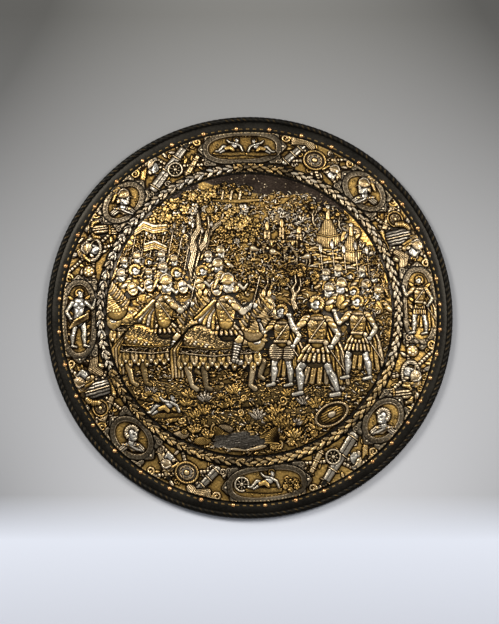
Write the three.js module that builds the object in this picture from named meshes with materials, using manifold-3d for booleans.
// Round embossed parade shield of blackened steel with gold and silver inlay.
// It lies on its turned edge with the embossed face up: +Z is up, +Y is the top of the shield,
// and the origin is on the surface it lies on, under its centre. Millimetres.

import * as THREE from 'three';
import { mergeVertices } from 'three/addons/utils/BufferGeometryUtils.js';
import Module from 'manifold-3d';

// Driving sizes
const SHIELD_DIAMETER = 590;
const EDGE_ROLL_DIAMETER = 9;
const PLATE_THICKNESS = 1.8;
const BAND_WIDTH = 14;
const BAND_HEIGHT = 6.3;
const BORDER_WIDTH = 50.5;
const BORDER_SLOPE_RISE = 13.5;
const WREATH_WIDTH = 11;
const WREATH_RISE = 5;
const DOME_RISE = 40;
const FIGURE_RISE = 6;
const SCENERY_RISE = 3.2;
const FRAME_RISE = 3.4;
const TREE_CLUMPS = 13;
const CARTOUCHES = 8;
const CARTOUCHE_TURN = 3;
// Each cartouche was laid out by hand, so it stands off its even place by so many degrees.
const CARTOUCHE_NUDGES = [0, -0.6, -0.5, 0, -1.5, -1.3, 2.8, 3.2];
const CARTOUCHE_HALF_HEIGHT = 25;
const LONG_CARTOUCHE_HALF_LENGTH = 57;
const ROUND_CARTOUCHE_HALF_LENGTH = 34;
const CARTOUCHE_FRAME_WIDTH = 7;
const LONG_CARTOUCHE_BEND = 0.8;
const SCROLL_LENGTH = 11;

// Lining rivets
const RIVET_COUNT = 39;
const RIVET_INSET = 4.8;
const RIVET_HEAD_DIAMETER = 6.8;
const RIVET_HEAD_HEIGHT = 2.9;
const RIVET_SHANK_DIAMETER = 2.4;
const RIVET_TAIL_DIAMETER = 5.4;
const RIVET_TAIL_HEIGHT = 1.6;
const RIVET_FIRST_ANGLE = 94;
const RIVET_CLOSEST_ANGLE = -3;
const RIVET_CROWDING = 0.26;
const FIT_CLEARANCE = 0.3;

// Fineness of the facets
const ROUND_SIDES = 72;
const RIVET_SIDES = 6;
const FACE_POINTS = 2320;
const FRAME_POINT_SPACING = 8;
const FRAME_STEPS = 36;
const WREATH_LEAVES = 108;
const RING_MARGIN = 3;
const CANVAS_STEP = 2;
const ROUNDNESS = 3;
const SOFTENING = 1;

// Radii and heights that follow from the driving sizes
const shieldRadius = SHIELD_DIAMETER / 2;
const rollRadius = EDGE_ROLL_DIAMETER / 2;
const bandOuter = shieldRadius - EDGE_ROLL_DIAMETER;
const borderOuter = bandOuter - BAND_WIDTH;
const wreathOuter = borderOuter - BORDER_WIDTH;
const fieldRadius = wreathOuter - WREATH_WIDTH;
const borderMiddle = (borderOuter + wreathOuter) / 2;
const wreathMiddle = (wreathOuter + fieldRadius) / 2;
const rivetCircle = borderOuter + RIVET_INSET;
const wreathSeat = BAND_HEIGHT + BORDER_SLOPE_RISE;
const domeCurve = (fieldRadius ** 2 + DOME_RISE ** 2) / (2 * DOME_RISE);
const rivetHole = RIVET_SHANK_DIAMETER + 2 * FIT_CLEARANCE;

// Height of the smooth plate at a radius, before any figure is raised on it.
function plateHeight(radius) {
  if (radius >= borderOuter) return BAND_HEIGHT;
  if (radius >= wreathOuter) {
    return BAND_HEIGHT + BORDER_SLOPE_RISE * (borderOuter - radius) / BORDER_WIDTH;
  }
  if (radius >= fieldRadius) return wreathSeat;
  return wreathSeat + Math.sqrt(domeCurve ** 2 - radius ** 2) - (domeCurve - DOME_RISE);
}

// The relief is worked on a square canvas of heights over the plate.
const canvasHalf = Math.floor(borderOuter / CANVAS_STEP);
const canvasSide = 2 * canvasHalf + 1;
const canvas = new Float64Array(canvasSide * canvasSide);

function canvasIndex(column, row) {
  return (row + canvasHalf) * canvasSide + column + canvasHalf;
}

// Raises every canvas point round (x, y) for which shape gives a height over what is there.
function raise(x, y, reach, shape) {
  const lowColumn = Math.max(-canvasHalf, Math.ceil((x - reach) / CANVAS_STEP));
  const highColumn = Math.min(canvasHalf, Math.floor((x + reach) / CANVAS_STEP));
  const lowRow = Math.max(-canvasHalf, Math.ceil((y - reach) / CANVAS_STEP));
  const highRow = Math.min(canvasHalf, Math.floor((y + reach) / CANVAS_STEP));
  for (let row = lowRow; row <= highRow; row++) {
    for (let column = lowColumn; column <= highColumn; column++) {
      const height = shape(column * CANVAS_STEP, row * CANVAS_STEP);
      const index = canvasIndex(column, row);
      if (height > canvas[index]) canvas[index] = height;
    }
  }
}

// A pen draws in shares of a figure's own size, from its own origin, turned and mirrored.
function penAt(x, y, size, turn = 0, flip = 1) {
  const cosine = Math.cos(turn) * size;
  const sine = Math.sin(turn) * size;
  const place = (u, v) => [x + flip * u * cosine - v * sine, y + flip * u * sine + v * cosine];
  const pen = {};

  // A round limb through points given as [u, v, half width].
  pen.limb = (rise, lift, ...points) => {
    for (let i = 1; i < points.length; i++) {
      const [ax, ay] = place(points[i - 1][0], points[i - 1][1]);
      const [bx, by] = place(points[i][0], points[i][1]);
      const ra = points[i - 1][2] * size;
      const rb = points[i][2] * size;
      const dx = bx - ax;
      const dy = by - ay;
      const squared = Math.max(dx * dx + dy * dy, 1e-9);
      const reach = Math.sqrt(squared) / 2 + Math.max(ra, rb);
      raise((ax + bx) / 2, (ay + by) / 2, reach, (px, py) => {
        const along = Math.min(1, Math.max(0, ((px - ax) * dx + (py - ay) * dy) / squared));
        const across = Math.hypot(px - ax - along * dx, py - ay - along * dy);
        const share = across / (ra + along * (rb - ra));
        return share < 1 ? (lift + rise) * (1 - share ** ROUNDNESS) : 0;
      });
    }
  };

  // An oval boss, or with a hollow given, an oval ring of which hollow is the open share.
  pen.boss = (rise, lift, u, v, halfU, halfV, tilt = 0, hollow = 0) => {
    const [cx, cy] = place(u, v);
    const angle = turn + flip * tilt;
    const c = Math.cos(angle);
    const s = Math.sin(angle);
    const a = halfU * size;
    const b = halfV * size;
    raise(cx, cy, Math.max(a, b), (px, py) => {
      const across = ((px - cx) * c + (py - cy) * s) / a;
      const up = ((py - cy) * c - (px - cx) * s) / b;
      const share = Math.hypot(across, up);
      if (share >= 1 || share < hollow) return 0;
      const bend = hollow ? (2 * share - 1 - hollow) / (1 - hollow) : share;
      return (lift + rise) * (1 - Math.abs(bend) ** ROUNDNESS);
    });
  };
  return pen;
}

// Figures. Each is drawn in shares of its own height.

function drawHorse(pen, lift) {
  const rise = FIGURE_RISE;
  const far = lift * 0.4;
  pen.limb(rise * 0.5, far, [-0.64, 0.86, 0.05], [-0.8, 0.62, 0.08], [-0.75, 0.22, 0.05]);
  pen.limb(rise * 0.5, far, [-0.36, 0.6, 0.14], [-0.34, 0.33, 0.06], [-0.3, 0.04, 0.045]);
  pen.limb(rise * 0.6, far, [0.26, 0.6, 0.1], [0.58, 0.42, 0.055], [0.52, 0.2, 0.045]);
  const hindLeg = [[-0.5, 0.68, 0.17], [-0.6, 0.36, 0.07], [-0.52, 0.06, 0.045], [-0.45, 0.01, 0.05]];
  const foreLeg = [[0.38, 0.62, 0.12], [0.42, 0.32, 0.055], [0.38, 0.06, 0.045], [0.45, 0.01, 0.05]];
  pen.limb(rise * 0.7, lift, ...hindLeg);
  pen.limb(rise * 0.7, lift, ...foreLeg);
  pen.limb(rise * 0.7, lift, [-0.5, 0.56, 0.13], [0.34, 0.55, 0.12]);
  pen.limb(rise, lift, [-0.42, 0.76, 0.24], [0.02, 0.71, 0.21], [0.36, 0.8, 0.21]);
  pen.limb(rise, lift + 1, [0.42, 0.9, 0.19], [0.58, 1.16, 0.14], [0.66, 1.32, 0.1]);
  pen.limb(rise * 0.9, lift + 1.5, [0.66, 1.32, 0.11], [0.85, 1.03, 0.068]);
}

function drawRider(pen, lift) {
  const rise = FIGURE_RISE * 0.8;
  pen.limb(rise, lift, [0, 0.98, 0.13], [0.2, 0.74, 0.085], [0.13, 0.42, 0.055], [0.23, 0.38, 0.05]);
  pen.limb(rise, lift, [-0.03, 0.98, 0.14], [-0.01, 1.27, 0.17]);
  pen.limb(rise * 0.8, lift + 1.5, [0.08, 1.33, 0.07], [0.26, 1.16, 0.055], [0.42, 1.26, 0.048]);
  pen.boss(rise, lift + 1.5, 0.03, 1.58, 0.115, 0.135);
  pen.boss(rise * 0.6, lift + 1.5, -0.05, 1.71, 0.16, 0.06, 0.5);
}

function drawSoldier(pen, lift, kilt = 0.13) {
  const rise = FIGURE_RISE * 0.8;
  const frontLeg = [[0.06, 0.45, 0.065], [0.1, 0.24, 0.05], [0.11, 0.04, 0.036], [0.17, 0.01, 0.034]];
  const backLeg = [[-0.05, 0.45, 0.065], [-0.09, 0.24, 0.05], [-0.11, 0.04, 0.036], [-0.05, 0.01, 0.034]];
  pen.limb(rise * 0.8, lift, ...frontLeg);
  pen.limb(rise * 0.8, lift, ...backLeg);
  pen.limb(rise, lift, [0, 0.56, 0.085], [0, 0.43, kilt]);
  pen.limb(rise, lift + 0.5, [0, 0.57, 0.085], [0, 0.76, 0.115]);
  pen.limb(rise * 0.8, lift + 1, [-0.12, 0.78, 0.045], [-0.22, 0.63, 0.04], [-0.14, 0.5, 0.034]);
  pen.limb(rise * 0.8, lift + 1, [0.12, 0.78, 0.045], [0.23, 0.67, 0.04], [0.29, 0.82, 0.034]);
  pen.boss(rise, lift + 1.5, 0.01, 0.93, 0.062, 0.08);
}

function drawRecliner(pen, lift) {
  const rise = FIGURE_RISE * 0.7;
  pen.limb(rise, lift, [-0.16, 0.02, 0.12], [0.1, 0.14, 0.14]);
  const leg = [[-0.16, 0, 0.09], [-0.42, 0.1, 0.07], [-0.64, -0.14, 0.05], [-0.76, -0.14, 0.05]];
  pen.limb(rise * 0.8, lift, ...leg);
  pen.limb(rise * 0.8, lift, [0.14, 0.22, 0.06], [0.36, 0.1, 0.055], [0.46, -0.14, 0.05]);
  pen.boss(rise, lift + 1, 0.17, 0.38, 0.1, 0.115);
}

function drawBust(pen, lift) {
  const rise = FIGURE_RISE * 0.8;
  pen.limb(rise * 0.8, lift, [-0.34, -0.56, 0.24], [0.34, -0.5, 0.22]);
  pen.limb(rise, lift, [-0.02, -0.4, 0.21], [0, 0.02, 0.18]);
  pen.boss(rise, lift + 1, 0.03, 0.22, 0.29, 0.34);
  pen.boss(rise * 0.7, lift + 1, -0.08, 0.46, 0.32, 0.17, -0.25);
}

function drawTree(pen, lift) {
  const rise = SCENERY_RISE;
  pen.limb(rise, lift + 1, [0.03, 0, 0.09], [-0.02, 0.3, 0.065], [-0.03, 0.52, 0.06], [0.02, 0.72, 0.04]);
  pen.limb(rise, lift + 1, [-0.02, 0.4, 0.055], [0.2, 0.58, 0.045], [0.28, 0.7, 0.03]);
  pen.limb(rise, lift + 1, [-0.03, 0.48, 0.05], [-0.2, 0.6, 0.035], [-0.24, 0.68, 0.03]);
  for (let clump = 0; clump < TREE_CLUMPS; clump++) {
    const angle = Math.PI * (clump / (TREE_CLUMPS - 1));
    const reach = clump % 2 ? 0.3 : 0.5;
    const swell = clump % 2 ? 0.14 : 0.12;
    pen.boss(rise, lift, reach * Math.cos(angle), 0.72 + 0.6 * reach * Math.sin(angle), swell, swell * 0.85);
  }
}

function drawTent(pen, lift) {
  const rise = SCENERY_RISE;
  pen.limb(rise, lift, [0, 0.1, 0.42], [0, 0.8, 0.1]);
  pen.limb(rise * 0.8, lift + 0.8, [0, 0.8, 0.08], [0, 1.1, 0.06]);
}

function drawArms(pen, kind) {
  const rise = FIGURE_RISE * 0.6;
  for (const [side, tall] of [[-1, 1], [1, 1], [-0.35, 1.15]]) {
    pen.limb(rise * 0.6, 0.6, [-side * 0.8, -0.4 * tall, 0.06], [side * 0.8, 0.4 * tall, 0.06]);
  }
  if (kind === 0) {
    pen.limb(rise, 1.6, [-0.12, -0.28, 0.2], [0.04, 0.12, 0.27]);
    pen.boss(rise, 1.8, 0.5, 0.18, 0.2, 0.17, 0.5);
  } else if (kind === 1) {
    pen.boss(rise, 1.6, 0.02, 0, 0.34, 0.3);
    pen.limb(rise, 1.6, [-0.66, -0.2, 0.09], [-0.42, 0.24, 0.09]);
  } else if (kind === 2) {
    pen.limb(rise, 1.6, [-0.66, -0.3, 0.1], [0.46, 0.28, 0.14]);
    pen.boss(rise, 2, 0.06, -0.14, 0.2, 0.2, 0, 0.6);
  } else {
    pen.boss(rise, 1.6, 0, 0.02, 0.38, 0.28, 0.3, 0.66);
    pen.boss(rise, 2, 0, 0.04, 0.17, 0.18);
    pen.boss(rise, 1.6, -0.6, -0.14, 0.16, 0.16);
  }
}

// The domed middle: riders come in from the left under a tree, men on foot meet them on the right.
// Places are hundredths of the dome's radius.
function raiseField() {
  const unit = fieldRadius / 100;
  const at = (x, y, size, flip = 1) => penAt(x * unit, y * unit, size * unit, 0, flip);
  const land = at(0, 0, 1);
  const low = SCENERY_RISE;

  // Ground, far hills, rocks and a pool
  land.limb(low, 0, [-84, -50, 7], [-40, -60, 8], [10, -57, 8], [56, -61, 8], [82, -46, 6]);
  land.limb(low, 0, [-66, -68, 6], [-20, -74, 6], [30, -72, 6], [66, -64, 5]);
  land.limb(low, 0, [18, 64, 5], [30, 77, 3], [42, 64, 7], [72, 56, 5]);
  land.limb(low, 0, [2, 40, 6], [30, 43, 7], [60, 36, 6], [84, 30, 4]);
  land.limb(low, 0, [-26, 78, 3], [-12, 81, 5], [8, 78, 3]);
  for (let rock = 0; rock < 6; rock++) {
    land.boss(low, 0.8, -62 + rock * 15, -80 - 4 * (rock % 3), 7, 3.6, 0.2 - 0.1 * (rock % 4));
  }
  land.boss(low, 0.4, -4, -90, 17, 5, 0, 0.6);

  // A walled town and a camp
  land.limb(low, 1.2, [12, 44, 3], [12, 58, 3]);
  land.limb(low, 1, [16, 46, 4], [34, 46, 4]);
  land.limb(low, 1.2, [37, 44, 3], [37, 54, 2.6]);
  drawTent(at(54, 50, 20), 0.8);
  drawTent(at(70, 40, 18), 1);

  drawTree(at(-36, 12, 76), 0.8);
  drawTree(at(-8, 76, 18), 0.6);

  // Lances with pennons on the left, pikes on the right
  for (let lance = 0; lance < 6; lance++) {
    const foot = -82 + lance * 8;
    land.limb(low * 0.6, 0.4, [foot, 26, 1.1], [foot + 6, 60 - 3 * (lance % 2), 1.1]);
  }
  land.limb(low, 1, [-78, 56, 3.4], [-68, 61, 4], [-56, 58, 3]);
  land.limb(low, 1, [-70, 45, 3.4], [-58, 42, 3.4]);
  for (let pike = 0; pike < 5; pike++) {
    land.limb(low * 0.6, 0.4, [52 + pike * 8, 10, 1.1], [49 + pike * 8, 40 + 3 * (pike % 2), 1.1]);
  }

  // Helmeted heads behind the leading riders and behind the men on foot
  for (let head = 0; head < 6; head++) {
    land.boss(FIGURE_RISE * 0.8, 1, -82 + head * 12.5, 29 + 4 * (head % 2), 4.4, 5.4);
  }
  for (let head = 0; head < 4; head++) {
    land.boss(FIGURE_RISE * 0.7, 1, 56 + head * 9, 19 - 3 * (head % 2), 4, 5);
  }

  drawHorse(at(-74, -34, 40, -1), 0.5);
  drawHorse(at(-58, -50, 42), 1.2);
  drawRider(at(-58, -49, 42), 2.4);
  drawHorse(at(-16, -54, 44), 2.4);
  drawRider(at(-16, -53, 44), 3.6);

  drawSoldier(at(22, -52, 54, -1), 1.6);
  drawSoldier(at(46, -58, 66, -1), 2, 0.18);
  drawSoldier(at(74, -46, 56, -1), 1.4, 0.17);
  land.boss(FIGURE_RISE * 0.8, 1.4, 56, -70, 13, 7.5, 0.5, 0.72);
  land.boss(FIGURE_RISE * 0.8, 1.4, 56, -70, 7, 4, 0.5);
  drawRecliner(at(-56, -66, 18), 1);
}

// The border: long cartouches at the four quarters, round ones between, arms in the gaps.
function cartoucheAt(index) {
  const nudge = CARTOUCHE_NUDGES[index % CARTOUCHE_NUDGES.length];
  const angle = THREE.MathUtils.degToRad(CARTOUCHE_TURN + nudge) + index * 2 * Math.PI / CARTOUCHES;
  return {
    angle,
    x: borderMiddle * Math.cos(angle),
    y: borderMiddle * Math.sin(angle),
    long: index % 2 === 0,
    halfLength: index % 2 ? ROUND_CARTOUCHE_HALF_LENGTH : LONG_CARTOUCHE_HALF_LENGTH,
    halfHeight: CARTOUCHE_HALF_HEIGHT,
  };
}

// A point of a cartouche's outline, so far inside its edge. A long one is squarer than an oval.
function framePoint({ long, halfLength, halfHeight }, inset, around) {
  const bend = long ? LONG_CARTOUCHE_BEND : 1;
  const c = Math.cos(around);
  const s = Math.sin(around);
  const u = (halfLength - inset) * Math.sign(c) * Math.abs(c) ** bend;
  const v = (halfHeight - inset) * Math.sign(s) * Math.abs(s) ** bend;
  return [u, v];
}

function raiseBorder() {
  for (let index = 0; index < CARTOUCHES; index++) {
    const cartouche = cartoucheAt(index);
    const { angle, x, y, long, halfLength, halfHeight } = cartouche;
    const frame = penAt(x, y, 1, angle - Math.PI / 2);
    const half = CARTOUCHE_FRAME_WIDTH / 2;
    const strap = Array.from({ length: FRAME_STEPS + 1 }, (_, i) => {
      return [...framePoint(cartouche, half, i * 2 * Math.PI / FRAME_STEPS), half];
    });
    frame.limb(FRAME_RISE, 1.4, ...strap);
    for (const side of [-1, 1]) {
      for (const out of [-1, 1]) {
        const [u, v] = [side * halfLength, out * halfHeight * 0.64];
        frame.boss(FRAME_RISE, 1.2, u, v, SCROLL_LENGTH / 2, SCROLL_LENGTH * 0.4, side * out * 0.6);
      }
    }
    const facing = index > 2 && index < 6 ? 1 : -1;
    if (!long) drawBust(penAt(x, y, halfHeight * 0.72, 0, facing), 1);
    else if (index % 4 === 0) drawSoldier(penAt(x, y - halfLength * 0.8, halfLength * 1.55), 1, 0.1);
    else drawRecliner(penAt(x, y, halfHeight * 1.1), 1);

    const between = angle + Math.PI / CARTOUCHES;
    const trophyX = borderMiddle * Math.cos(between);
    const trophyY = borderMiddle * Math.sin(between);
    drawArms(penAt(trophyX, trophyY, BORDER_WIDTH, between - Math.PI / 2), index % 4);
  }
}

// Rounds the steps between figures off, as hammered metal does.
function soften(passes) {
  for (let pass = 0; pass < passes; pass++) {
    const before = canvas.slice();
    for (let row = 1 - canvasHalf; row < canvasHalf; row++) {
      for (let column = 1 - canvasHalf; column < canvasHalf; column++) {
        const i = canvasIndex(column, row);
        const beside = before[i - 1] + before[i + 1] + before[i - canvasSide] + before[i + canvasSide];
        canvas[i] = (2 * before[i] + beside) / 6;
      }
    }
  }
}

// Height of the finished face at a point of the canvas.
function faceHeight(column, row) {
  const radius = Math.hypot(column, row) * CANVAS_STEP;
  return plateHeight(radius) + canvas[canvasIndex(column, row)];
}

// A plan of triangles that grows one point at a time and stays Delaunay.
class Plan {
  constructor(reach) {
    this.points = [[-9 * reach, -8 * reach], [9 * reach, -8 * reach], [0, 12 * reach]];
    this.triangles = [this.triangle(0, 1, 2)];
  }

  triangle(a, b, c) {
    const [ax, ay] = this.points[a];
    const [bx, by] = this.points[b];
    const [cx, cy] = this.points[c];
    const bSquare = (bx - ax) ** 2 + (by - ay) ** 2;
    const cSquare = (cx - ax) ** 2 + (cy - ay) ** 2;
    const area = 2 * ((bx - ax) * (cy - ay) - (cx - ax) * (by - ay));
    const ox = ((cy - ay) * bSquare - (by - ay) * cSquare) / area;
    const oy = ((bx - ax) * cSquare - (cx - ax) * bSquare) / area;
    return { corners: [a, b, c], x: ax + ox, y: ay + oy, square: ox * ox + oy * oy, error: 0, at: null };
  }

  // Adds a point, and returns the triangles that are new.
  add(x, y) {
    const index = this.points.push([x, y]) - 1;
    const kept = [];
    const edges = new Map();
    for (const triangle of this.triangles) {
      if ((x - triangle.x) ** 2 + (y - triangle.y) ** 2 >= triangle.square * (1 - 1e-12)) {
        kept.push(triangle);
        continue;
      }
      const [a, b, c] = triangle.corners;
      for (const [from, to] of [[a, b], [b, c], [c, a]]) {
        const back = `${to},${from}`;
        if (edges.has(back)) edges.delete(back);
        else edges.set(`${from},${to}`, [from, to]);
      }
    }
    const fresh = [...edges.values()].map(([from, to]) => this.triangle(from, to, index));
    this.triangles = kept.concat(fresh);
    return fresh;
  }

  faces() {
    return this.triangles.map((triangle) => triangle.corners).filter((corners) => Math.min(...corners) > 2);
  }
}

// Finds the canvas point inside a triangle that lies furthest off its plane.
function measureError(plan, heights, triangle) {
  const [a, b, c] = triangle.corners;
  if (Math.min(a, b, c) < 3) return;
  const [ax, ay] = plan.points[a];
  const [bx, by] = plan.points[b];
  const [cx, cy] = plan.points[c];
  const area = (bx - ax) * (cy - ay) - (cx - ax) * (by - ay);
  const lowRow = Math.ceil(Math.min(ay, by, cy) / CANVAS_STEP);
  const highRow = Math.floor(Math.max(ay, by, cy) / CANVAS_STEP);
  const lowColumn = Math.ceil(Math.min(ax, bx, cx) / CANVAS_STEP);
  const highColumn = Math.floor(Math.max(ax, bx, cx) / CANVAS_STEP);
  let total = 0;
  let largest = 0;
  for (let row = lowRow; row <= highRow; row++) {
    for (let column = lowColumn; column <= highColumn; column++) {
      const x = column * CANVAS_STEP;
      const y = row * CANVAS_STEP;
      const second = ((x - ax) * (cy - ay) - (cx - ax) * (y - ay)) / area;
      const third = ((bx - ax) * (y - ay) - (x - ax) * (by - ay)) / area;
      if (second < 0.02 || third < 0.02 || second + third > 0.98) continue;
      const radius = Math.hypot(x, y);
      if (radius > borderOuter - RING_MARGIN) continue;
      if (radius > fieldRadius - RING_MARGIN && radius < wreathOuter + RING_MARGIN) continue;
      const flat = heights[a] + second * (heights[b] - heights[a]) + third * (heights[c] - heights[a]);
      const error = Math.abs(faceHeight(column, row) - flat);
      total += error * error;
      if (error > largest) {
        largest = error;
        triangle.at = [column, row];
      }
    }
  }
  triangle.error = total * largest;
}

function addRing(plan, heights, radius, count, heightAt, startShare = 0) {
  for (let i = 0; i < count; i++) {
    const angle = (i + startShare) * 2 * Math.PI / count;
    plan.add(radius * Math.cos(angle), radius * Math.sin(angle));
    heights.push(heightAt(i));
  }
}

// Rings of points along the cartouche frames, at their outer foot, crest and inner foot.
function addFrames(plan, heights) {
  const taken = new Set();
  for (let index = 0; index < CARTOUCHES; index++) {
    const cartouche = cartoucheAt(index);
    const { angle, x, y, halfLength, halfHeight } = cartouche;
    const count = Math.round((halfLength + halfHeight) / FRAME_POINT_SPACING) * 2;
    for (const inset of [-1, CARTOUCHE_FRAME_WIDTH / 2, CARTOUCHE_FRAME_WIDTH + 1]) {
      for (let i = 0; i < count; i++) {
        const around = (i + 0.5) * 2 * Math.PI / count;
        const [u, v] = framePoint(cartouche, inset, around);
        const column = Math.round((x - u * Math.sin(angle) + v * Math.cos(angle)) / CANVAS_STEP);
        const row = Math.round((y + u * Math.cos(angle) + v * Math.sin(angle)) / CANVAS_STEP);
        const radius = Math.hypot(column, row) * CANVAS_STEP;
        const inBorder = radius < borderOuter - RING_MARGIN && radius > wreathOuter + RING_MARGIN;
        if (!inBorder || taken.has(canvasIndex(column, row))) continue;
        taken.add(canvasIndex(column, row));
        plan.add(column * CANVAS_STEP, row * CANVAS_STEP);
        heights.push(faceHeight(column, row));
      }
    }
  }
}

// The embossed face. The first points after the outer triangle are the band's outer ring.
function planFace() {
  const plan = new Plan(shieldRadius);
  const heights = [0, 0, 0];
  addRing(plan, heights, bandOuter, ROUND_SIDES, () => BAND_HEIGHT);
  addRing(plan, heights, borderOuter, 2 * ROUND_SIDES, () => BAND_HEIGHT);
  addRing(plan, heights, wreathOuter, WREATH_LEAVES, () => wreathSeat);
  const leafTop = (i) => wreathSeat + WREATH_RISE * (i % 2 ? 1 : 0.62);
  addRing(plan, heights, wreathMiddle, WREATH_LEAVES, leafTop, 0.5);
  addRing(plan, heights, fieldRadius, WREATH_LEAVES, () => wreathSeat);
  addFrames(plan, heights);
  plan.triangles.forEach((triangle) => measureError(plan, heights, triangle));
  while (plan.points.length < FACE_POINTS) {
    const worst = plan.triangles.reduce((a, b) => (b.error > a.error ? b : a));
    if (!worst.at) break;
    const [column, row] = worst.at;
    const fresh = plan.add(column * CANVAS_STEP, row * CANVAS_STEP);
    heights.push(faceHeight(column, row));
    fresh.forEach((triangle) => measureError(plan, heights, triangle));
  }
  return { plan, heights };
}

// The hollow back follows the smooth plate, one thickness below it.
function planBack() {
  const plan = new Plan(shieldRadius);
  const heights = [0, 0, 0];
  const rings = [
    [bandOuter, ROUND_SIDES], [borderOuter, ROUND_SIDES], [wreathOuter, ROUND_SIDES / 2],
    [fieldRadius, ROUND_SIDES / 2], [fieldRadius * 0.75, ROUND_SIDES / 2],
    [fieldRadius * 0.5, ROUND_SIDES / 3], [fieldRadius * 0.25, ROUND_SIDES / 6],
  ];
  for (const [radius, count] of rings) {
    const height = plateHeight(radius) - PLATE_THICKNESS;
    addRing(plan, heights, radius, count, () => height);
  }
  plan.add(0, 0);
  heights.push(plateHeight(0) - PLATE_THICKNESS);
  return { plan, heights };
}

function buildPlate() {
  const face = planFace();
  const back = planBack();
  const vertices = [];
  const triangles = [];
  const pour = ({ plan, heights }, faceUp) => {
    const first = vertices.length / 3 - 3;
    plan.points.slice(3).forEach(([x, y], i) => vertices.push(x, y, heights[i + 3]));
    for (const [a, b, c] of plan.faces()) {
      if (faceUp) triangles.push(first + a, first + b, first + c);
      else triangles.push(first + a, first + c, first + b);
    }
    return first + 3;
  };
  const faceRing = pour(face, true);
  const backRing = pour(back, false);

  // The turned edge is an eight-sided roll whose lowest side is the flat the shield lies on.
  const rollCentre = shieldRadius - rollRadius;
  const corner = rollRadius / Math.cos(Math.PI / 8);
  const rings = [faceRing];
  for (let side = 0; side < 6; side++) {
    const tilt = THREE.MathUtils.degToRad(112.5 - 45 * side);
    rings.push(vertices.length / 3);
    for (let i = 0; i < ROUND_SIDES; i++) {
      const angle = i * 2 * Math.PI / ROUND_SIDES;
      const radius = rollCentre + corner * Math.cos(tilt);
      vertices.push(radius * Math.cos(angle), radius * Math.sin(angle), rollRadius + corner * Math.sin(tilt));
    }
  }
  rings.push(backRing);
  for (let ring = 1; ring < rings.length; ring++) {
    for (let i = 0; i < ROUND_SIDES; i++) {
      const next = (i + 1) % ROUND_SIDES;
      const [inner, outer] = [rings[ring - 1], rings[ring]];
      triangles.push(inner + i, outer + i, outer + next, inner + i, outer + next, inner + next);
    }
  }
  const geometry = new THREE.BufferGeometry();
  geometry.setAttribute('position', new THREE.Float32BufferAttribute(vertices, 3));
  geometry.setIndex(triangles);
  return geometry;
}

const wasm = await Module();
wasm.setup();

function toSolid(geometry) {
  const bare = geometry.clone();
  bare.deleteAttribute('normal');
  bare.deleteAttribute('uv');
  const merged = mergeVertices(bare);
  return new wasm.Manifold(new wasm.Mesh({
    numProp: 3,
    vertProperties: new Float32Array(merged.attributes.position.array),
    triVerts: new Uint32Array(merged.index.array),
  }));
}

function toGeometry(solid) {
  const mesh = solid.getMesh();
  const geometry = new THREE.BufferGeometry();
  geometry.setAttribute('position', new THREE.Float32BufferAttribute(mesh.vertProperties, 3));
  geometry.setIndex([...mesh.triVerts]);
  geometry.computeVertexNormals();
  return geometry;
}

// Angles of the rivets, clockwise from the first. They crowd together on the right.
function rivetAngles() {
  const closest = THREE.MathUtils.degToRad(RIVET_CLOSEST_ANGLE);
  const angles = [];
  const steps = [];
  let angle = THREE.MathUtils.degToRad(RIVET_FIRST_ANGLE);
  for (let i = 0; i < RIVET_COUNT; i++) {
    const nearness = ((1 + Math.cos(angle - closest)) / 2) ** 4;
    steps.push(1 - RIVET_CROWDING * nearness);
    angle -= steps[i] * 2 * Math.PI / RIVET_COUNT;
  }
  const total = steps.reduce((sum, step) => sum + step, 0);
  let turned = 0;
  for (const step of steps) {
    angles.push(THREE.MathUtils.degToRad(RIVET_FIRST_ANGLE) - 2 * Math.PI * turned / total);
    turned += step;
  }
  return angles;
}

function placeOnCircle(object, angle, height) {
  object.position.set(rivetCircle * Math.cos(angle), rivetCircle * Math.sin(angle), height);
  object.rotation.z = angle;
}

function drillPlate(geometry, angles) {
  let solid = toSolid(geometry);
  const drill = new THREE.CylinderGeometry(rivetHole / 2, rivetHole / 2, 4 * PLATE_THICKNESS, RIVET_SIDES);
  drill.rotateX(Math.PI / 2);
  const holder = new THREE.Object3D();
  for (const angle of angles) {
    placeOnCircle(holder, angle, BAND_HEIGHT);
    holder.updateMatrix();
    solid = solid.subtract(toSolid(drill.clone().applyMatrix4(holder.matrix)));
  }
  return toGeometry(solid);
}

// A rivet stands on the band's face at height zero of its own frame.
function buildRivet() {
  const head = RIVET_HEAD_DIAMETER / 2;
  const shank = RIVET_SHANK_DIAMETER / 2;
  const tail = RIVET_TAIL_DIAMETER / 2;
  const under = FIT_CLEARANCE;
  const behind = -PLATE_THICKNESS - FIT_CLEARANCE;
  const profile = [
    [0, behind - RIVET_TAIL_HEIGHT], [tail, behind], [shank, behind], [shank, under],
    [head, under], [head * 0.74, under + RIVET_HEAD_HEIGHT * 0.7], [0, under + RIVET_HEAD_HEIGHT],
  ];
  const outline = profile.map(([radius, height]) => new THREE.Vector2(radius, height));
  return new THREE.LatheGeometry(outline, RIVET_SIDES).rotateX(Math.PI / 2);
}

const steel = new THREE.MeshStandardMaterial({ color: 0x7d6a45, roughness: 0.42, metalness: 0.9 });
const copperGold = new THREE.MeshStandardMaterial({ color: 0xb98a4c, roughness: 0.35, metalness: 0.95 });

raiseField();
raiseBorder();
soften(SOFTENING);
const angles = rivetAngles();
const shield = new THREE.Group();

const plate = new THREE.Mesh(drillPlate(buildPlate(), angles), steel);
plate.name = 'shield_plate';
shield.add(plate);

angles.forEach((angle, index) => {
  const rivet = new THREE.Mesh(buildRivet(), copperGold);
  rivet.name = `rivet_${String(index + 1).padStart(2, '0')}`;
  placeOnCircle(rivet, angle, BAND_HEIGHT);
  shield.add(rivet);
});

export default shield;
